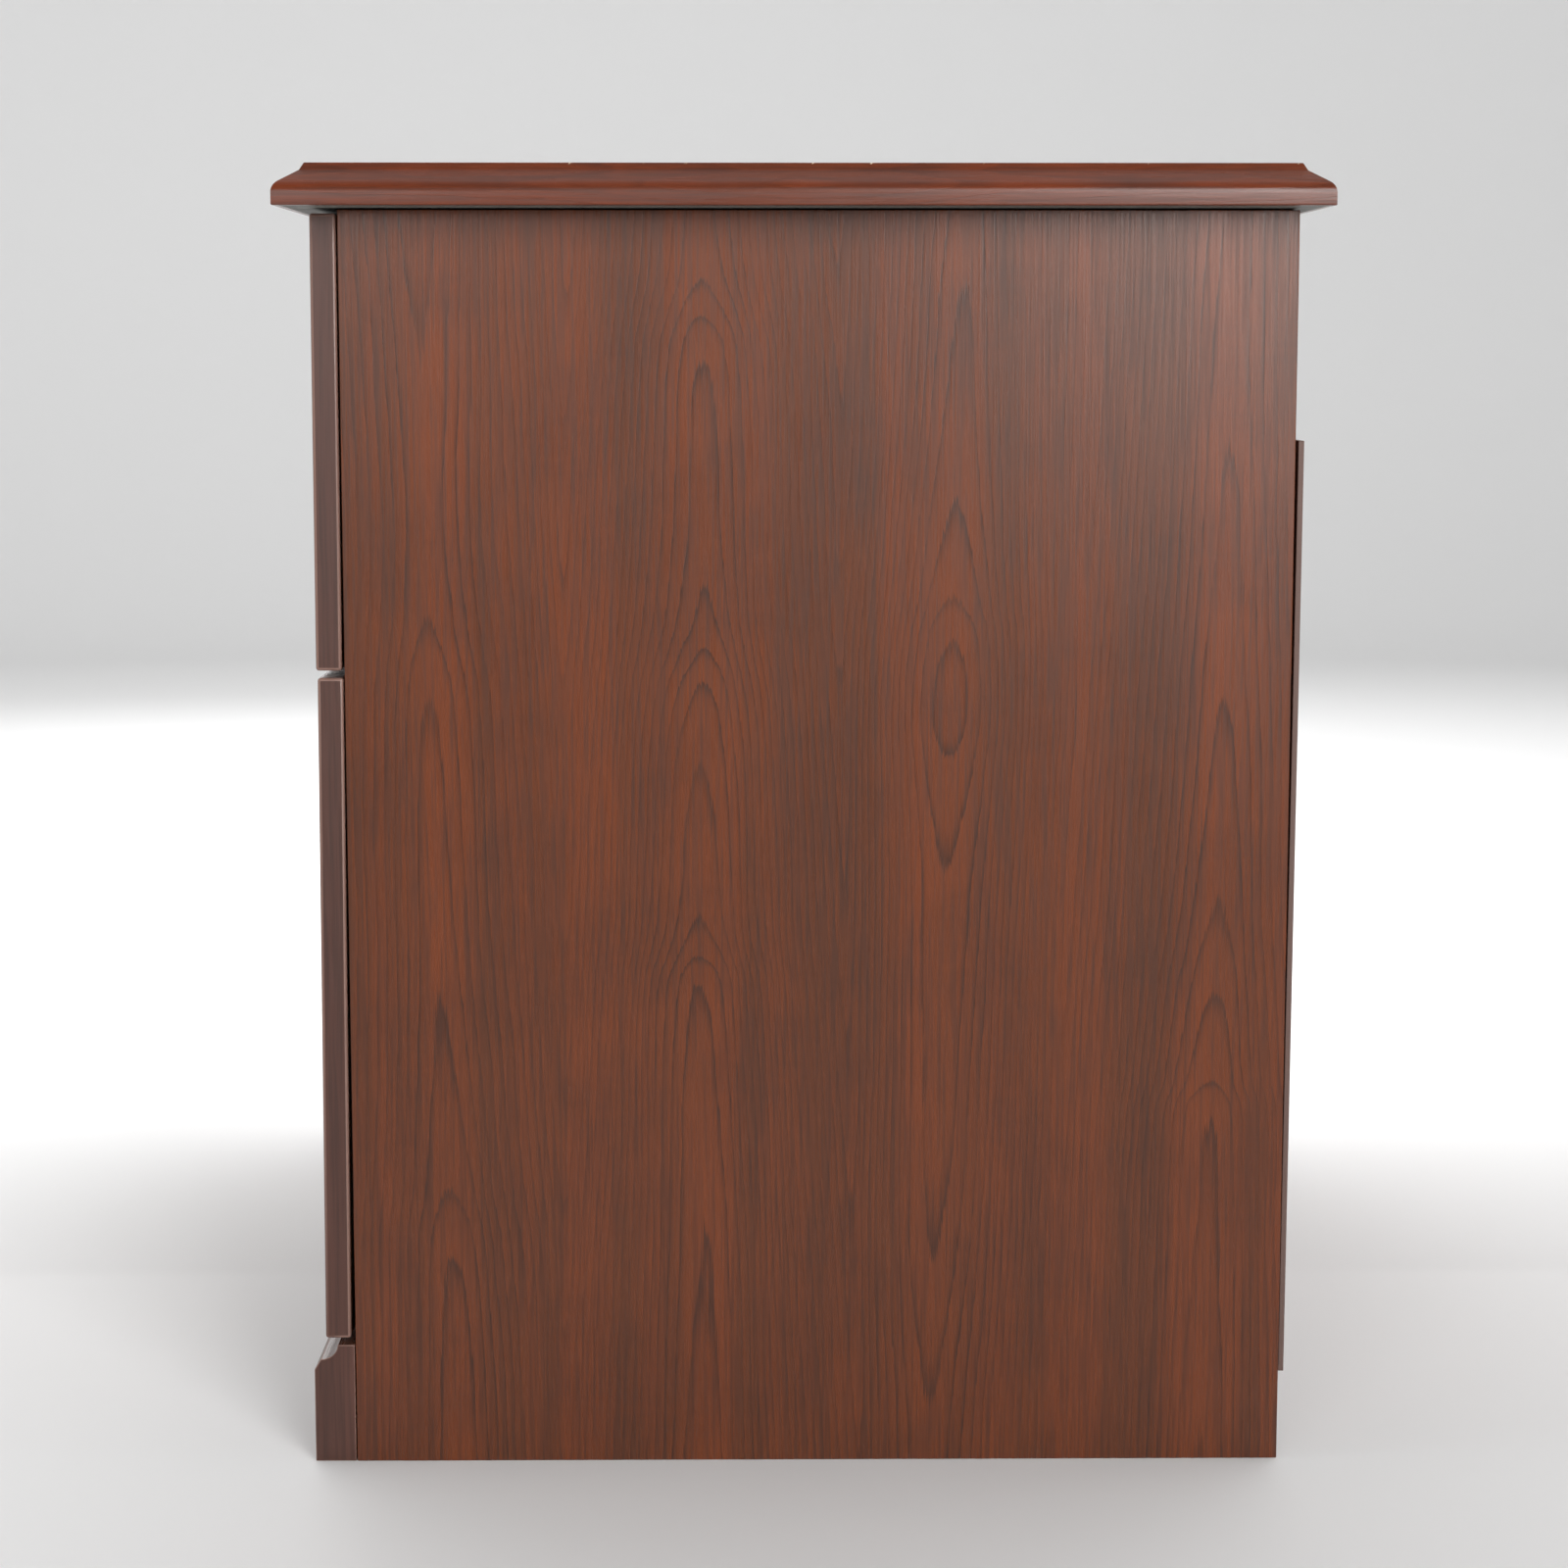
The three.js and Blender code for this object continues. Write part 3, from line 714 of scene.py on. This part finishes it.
def lathe(bm, centre, axis, profile, segments):
    """Turns a profile of (radius, height) about `axis` and closes both its ends."""
    side = axis.orthogonal().normalized()
    other = axis.cross(side)
    rings = []
    for radius, height in profile:
        ring = []
        for step in range(segments):
            angle = 2 * math.pi * step / segments
            spoke = side * math.cos(angle) + other * math.sin(angle)
            ring.append(bm.verts.new(centre + axis * height + spoke * radius))
        rings.append(ring)
    for one, two in zip(rings, rings[1:]):
        for step in range(segments):
            after = (step + 1) % segments
            face = bm.faces.new((one[step], one[after], two[after], two[step]))
            face.smooth = True
    bm.faces.new(rings[0][::-1])
    bm.faces.new(rings[-1])


# ---------------------------------------------------------------- small hardware

HEAD_SINK = 0.3 * MM  # how far a nail or screw head is sunk below its surface
HEAD_SEGMENTS = 24
NAIL_ROWS = 5
NAIL_INSET = 26 * MM  # from the back panel's side edges
NAIL_MARGIN = 8 * MM  # from its upper and lower edges
BACK_PANEL_LEAN = 0.18  # degrees
BALL_COUNT = 12
BALL_PITCH = 14 * MM
BALL_END = 12 * MM  # from the end of the middle member to its nearest ball
BALL_PLAY = 0.03 * MM
OUTER_BALLS_IN = 4.0 * MM  # from the middle member's face to each row's centre
INNER_BALLS_IN = 2.2 * MM
SPACER_HALF_WIDTH = 1.1 * MM
SPACER_HALF_THICKNESS = 0.5 * MM
SPACER_END = 5 * MM  # how far the strip runs past its last ball
CHANNEL_STEEL = 1.2 * MM


def add_heads(name, body, spots, axis, radius, height, material):
    """Domed nail or screw heads with a small dimple, all facing along `axis`."""
    profile = [
        (radius, 0), (radius, HEAD_SINK + 0.25 * height), (radius * 0.82, height * 0.8),
        (radius * 0.45, height), (radius * 0.30, height), (radius * 0.22, height * 0.45),
        (0.02 * MM, height * 0.45),
    ]
    axis = Vector(axis)
    bm = bmesh.new()
    for spot in spots:
        lathe(bm, Vector(spot) - axis * HEAD_SINK, axis, profile, HEAD_SEGMENTS)
    piece(name, bm, body, [material])


def add_back_panel_nails(material):
    low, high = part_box("back_panel")
    lean = math.tan(math.radians(BACK_PANEL_LEAN))
    foot = high.y - lean * (high.z - low.z)
    columns = [low.x + NAIL_INSET, 0.0, high.x - NAIL_INSET]
    last_row = NAIL_ROWS - 1
    climb = high.z - low.z - 2 * NAIL_MARGIN
    spots = []
    for row in range(NAIL_ROWS):
        z = low.z + NAIL_MARGIN + climb * row / last_row
        for column, x in enumerate(columns):
            if column == 1 and 0 < row < last_row:
                continue
            spots.append((x, foot + lean * (z - low.z), z))
    add_heads("back_panel_nails", "carcass", spots, (0, 1, 0), 2.4 * MM, 0.9 * MM, material)


def add_cleat_screws(material):
    for side in SIDES:
        low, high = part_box(f"{side}_top_cleat")
        x = (low.x + high.x) / 2
        spots = [(x, low.y + (high.y - low.y) * part, low.z) for part in (0.12, 0.5, 0.88)]
        name = f"{side}_cleat_screws"
        add_heads(name, "carcass", spots, (0, 0, -1), 4.2 * MM, 2.2 * MM, material)


def add_box_screws(drawer, side, material):
    """The screws that hold a drawer box's front and rear to one of its sides."""
    low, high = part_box(f"{drawer}_box_{side}")
    outward = 1 if side == "right" else -1
    x = high.x if side == "right" else low.x
    ends = [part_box(f"{drawer}_box_{end}") for end in ("front", "rear")]
    spots = []
    for end_low, end_high in ends:
        y = (end_low.y + end_high.y) / 2
        for part in (0.14, 0.86):
            spots.append((x, y, low.z + (high.z - low.z) * part))
    name = f"{drawer}_{side}_box_screws"
    add_heads(name, body_of(f"{drawer}_front"), spots, (outward, 0, 0), 3.4 * MM, 1.6 * MM, material)


def add_slide_screws(drawer, side, material):
    low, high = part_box(f"{drawer}_{side}_slide_cabinet")
    outward = 1 if side == "right" else -1
    wall = (high.x if side == "right" else low.x) - outward * CHANNEL_STEEL
    z = (low.z + high.z) / 2
    spots = [(wall, low.y + (high.y - low.y) * part, z) for part in (0.08, 0.5, 0.9)]
    name = f"{drawer}_{side}_slide_screws"
    add_heads(name, "carcass", spots, (-outward, 0, 0), 3.6 * MM, 1.5 * MM, material)


def add_block(bm, low, high):
    made = bmesh.ops.create_cube(bm, size=1.0)
    for vert in made["verts"]:
        for axis in range(3):
            middle = (low[axis] + high[axis]) / 2
            vert.co[axis] = middle + vert.co[axis] * (high[axis] - low[axis])


def add_ball_row(bm, x, start, z, radius):
    """A row of bearing balls in the strip that spaces them."""
    end = start + BALL_PITCH * (BALL_COUNT - 1)
    add_block(
        bm,
        (x - SPACER_HALF_WIDTH, start - SPACER_END, z - SPACER_HALF_THICKNESS),
        (x + SPACER_HALF_WIDTH, end + SPACER_END, z + SPACER_HALF_THICKNESS),
    )
    for index in range(BALL_COUNT):
        made = bmesh.ops.create_icosphere(bm, subdivisions=2, radius=radius)
        for vert in made["verts"]:
            vert.co += Vector((x, start + BALL_PITCH * index, z))
            for face in vert.link_faces:
                face.smooth = True


def add_balls(drawer, side, material):
    """Balls either side of the middle member, where its neighbours still overlap it when open."""
    node = f"{drawer}_{side}_slide_middle"
    low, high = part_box(node)
    outer_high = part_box(f"{drawer}_{side}_slide_cabinet")[1]
    inner_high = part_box(f"{drawer}_{side}_slide_drawer")[1]
    outward = 1 if side == "right" else -1
    inner_face = low.x if side == "right" else high.x
    z = (low.z + high.z) / 2
    half = (high.z - low.z) / 2
    outer_half = outer_high.z - z - CHANNEL_STEEL
    inner_half = inner_high.z - z
    middle_half = half - CHANNEL_STEEL
    rear_start = high.y - BALL_END - BALL_PITCH * (BALL_COUNT - 1)
    front_start = low.y + BALL_END
    rows = [
        # place across the slide, first ball, and the two heights that the balls touch
        (inner_face + outward * OUTER_BALLS_IN, rear_start, half, outer_half),
        (inner_face + outward * INNER_BALLS_IN, front_start, inner_half, middle_half),
    ]
    bm = bmesh.new()
    for x, start, near, far in rows:
        for sign in (-1, 1):
            radius = (far - near) / 2 - BALL_PLAY
            add_ball_row(bm, x, start, z + sign * (near + far) / 2, radius)
    piece(f"{drawer}_{side}_slide_balls", bm, body_of(node), [material])


# ---------------------------------------------------------------- stage and lights

STAGE_RADIUS = 6.5
STAGE_CURVE = 1.5
STAGE_HEIGHT = 5.0
STAGE_SEGMENTS = 96
STAGE_CURVE_STEPS = 12
STAGE_MIDDLE = 0.4  # radius of the innermost ring


def add_stage():
    """A round pale floor that curves up into a pale wall all around the cabinet."""
    flat = STAGE_RADIUS - STAGE_CURVE
    section = [(STAGE_MIDDLE, 0.0), (flat / 2, 0.0), (flat, 0.0)]
    for step in range(1, STAGE_CURVE_STEPS + 1):
        angle = math.pi / 2 * step / STAGE_CURVE_STEPS
        reach = flat + STAGE_CURVE * math.sin(angle)
        section.append((reach, STAGE_CURVE * (1 - math.cos(angle))))
    section.append((STAGE_RADIUS, STAGE_HEIGHT))
    bm = bmesh.new()
    middle = bm.verts.new((0, 0, 0))
    rings = []
    for radius, height in section:
        ring = []
        for step in range(STAGE_SEGMENTS):
            angle = 2 * math.pi * step / STAGE_SEGMENTS
            ring.append(bm.verts.new((radius * math.cos(angle), radius * math.sin(angle), height)))
        rings.append(ring)
    for step in range(STAGE_SEGMENTS):
        after = (step + 1) % STAGE_SEGMENTS
        face = bm.faces.new((middle, rings[0][step], rings[0][after]))
        face.smooth = True
        for one, two in zip(rings, rings[1:]):
            face = bm.faces.new((one[step], two[step], two[after], one[after]))
            face.smooth = True
    mesh = bpy.data.meshes.new("floor")
    bm.to_mesh(mesh)
    bm.free()
    floor = bpy.data.objects.new("floor", mesh)
    bpy.context.scene.collection.objects.link(floor)
    material, _, shader = new_material("pale_floor", Roughness=0.9, Specular_IOR_Level=0.2)
    shader.inputs["Base Color"].default_value = rgb(0.78, 0.78, 0.78)
    mesh.materials.append(material)


def add_area_light(name, place, aim, size, power, spread):
    data = bpy.data.lights.new(name, "AREA")
    data.shape = "RECTANGLE"
    data.size, data.size_y = size
    data.energy = power
    data.spread = math.radians(spread)
    light = bpy.data.objects.new(name, data)
    light.location = place
    light.visible_camera = False
    light.rotation_euler = (Vector(aim) - Vector(place)).to_track_quat("-Z", "Y").to_euler()
    bpy.context.scene.collection.objects.link(light)


STUDIO_LIGHTS = [
    # name, place, aim, size, power, spread in degrees
    ("overhead", (0.0, 0.0, 3.2), (0.0, 0.0, 0.0), (3.4, 3.4), 10, 180),
    ("backdrop_top", (-1.6, 0.0, 3.2), (-1.6, 0.0, 0.0), (3.0, 4.5), 120, 180),
    ("backdrop_wash", (-1.4, 0.0, 2.6), (-4.5, 0.0, 0.9), (1.0, 4.0), 60, 180),
    ("window", (3.0, 1.0, 1.9), (0.4, 0.0, 0.95), (1.2, 1.2), 8.8, 60),
    ("left_strip", (4.6, -1.5, 1.35), (0.4, 0.0, 0.95), (1.4, 0.9), 9, 80),
    ("right_strip", (4.6, 1.6, 1.15), (0.4, 0.0, 0.95), (2.2, 1.1), 16.5, 80),
    ("front_fill", (0.3, -3.6, 1.8), (0.0, -0.2, 0.4), (2.4, 2.0), 32, 180),
    ("rear_fill", (0.0, 3.6, 1.9), (0.0, 0.2, 0.4), (2.4, 2.0), 24, 180),
    ("left_fill", (-3.2, -0.6, 1.9), (-0.4, 0.0, 0.4), (2.0, 2.0), 32, 180),
]
AMBIENT = 0.06


def add_lights():
    for settings in STUDIO_LIGHTS:
        add_area_light(*settings)
    world = bpy.data.worlds.new("studio")
    bpy.context.scene.world = world
    world.use_nodes = True
    background = world.node_tree.nodes["Background"]
    background.inputs["Color"].default_value = rgb(1.0, 1.0, 1.0)
    background.inputs["Strength"].default_value = AMBIENT
    bpy.context.scene.view_settings.view_transform = "Standard"


# ---------------------------------------------------------------- everything together


def add_carcass():
    right_front = -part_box("right_side")[0].y
    side_shift = right_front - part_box("right_side")[1].x
    side = laminate("side_laminate", "Z", across_shift=side_shift)
    rounded("right_side", 0.5 * MM, [side])
    left = laminate("left_laminate", "Z", across_shift=0.21, along_shift=0.18)
    rounded("left_side", 0.5 * MM, [left])
    inner = laminate("inner_laminate", "X", across_shift=0.31, along_shift=0.4)
    for node in ("bottom_panel", "mid_rail", "front_top_rail", "rear_top_rail",
                 "base_rear_rail"):
        rounded(node, 0.4 * MM, [inner])
    field = laminate("top_field", "X", across_shift=0.42, along_shift=0.5)
    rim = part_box("top")[1].z - 0.9 * MM
    long_edge = laminate("top_long_edge", "X", 0.11, figure=0.35, redness=1.25,
                         chips_above=rim)
    short_edge = laminate("top_short_edge", "Y", 0.27, figure=0.35, redness=1.25,
                          chips_above=rim)
    add_top([field, long_edge, short_edge, backer("top_underside")])
    base = laminate("base_laminate", "X", across_shift=0.5, figure=0.35, shade=0.85)
    end = edge_band("base_end_band", "Z", 0.45, shade=0.9)
    # The third material paints a highlight on the rail's rounded edges.
    add_base_rail([base, end, arris("base_arris", "X")])
    rounded("back_panel", 0.3 * MM, [hardboard("back_hardboard")], segments=2)
    cleat = drawer_board("cleat_board", "Y")
    for side_name in SIDES:
        rounded(f"{side_name}_top_cleat", 0.8 * MM, [cleat])


def add_drawers():
    front = laminate("front_laminate", "Z", across_shift=0.7, along_shift=0.07, shade=0.92)
    # The third material paints a highlight on the fronts' rounded edges.
    front_materials = [front, edge_band("front_edge_band", "Z", 0.3), arris("front_arris", "Z")]
    along_x = drawer_board("box_board_across", "X", 0.2)
    along_y = drawer_board("box_board_along", "Y", 0.05)
    steel = metal("zinc_steel", rgb(0.62, 0.63, 0.65), rgb(0.42, 0.43, 0.45), 0.3, 30.0)
    brass = metal("antique_brass", rgb(0.46, 0.31, 0.14), rgb(0.20, 0.13, 0.06), 0.3, 60.0)
    for drawer in DRAWERS:
        rounded(f"{drawer}_front", 1.7 * MM, front_materials, hull=True, segments=4, end_axis=0)
        rounded(f"{drawer}_box_front", 0.5 * MM, [along_x])
        rounded(f"{drawer}_box_rear", 0.5 * MM, [along_x])
        rounded(f"{drawer}_box_bottom", 0.3 * MM, [along_x])
        for side in SIDES:
            rounded(f"{drawer}_box_{side}", 0.5 * MM, [along_y])
            for member in ("cabinet", "middle", "drawer"):
                rounded(f"{drawer}_{side}_slide_{member}", 0.3 * MM, [steel], segments=2)
            add_pull(f"{drawer}_{side}_pull", brass)
        for index in range(PULL_SCREWS):
            rounded(f"{drawer}_pull_screw_{index + 1}", 0.25 * MM, [steel], segments=2)
    for place in ("front", "rear"):
        rounded(f"lower_file_bar_{place}", 0.3 * MM, [steel], segments=2)


def add_hardware():
    screw = metal("screw_zinc", rgb(0.60, 0.56, 0.48), rgb(0.36, 0.33, 0.28), 0.34, 90.0)
    ball = metal("ball_steel", rgb(0.68, 0.68, 0.70), rgb(0.50, 0.50, 0.52), 0.18, 60.0)
    add_back_panel_nails(screw)
    add_cleat_screws(screw)
    for drawer in DRAWERS:
        for side in SIDES:
            add_box_screws(drawer, side, screw)
            add_slide_screws(drawer, side, screw)
            add_balls(drawer, side, ball)


add_camera()
add_carcass()
add_drawers()
add_hardware()
add_stage()
add_lights()
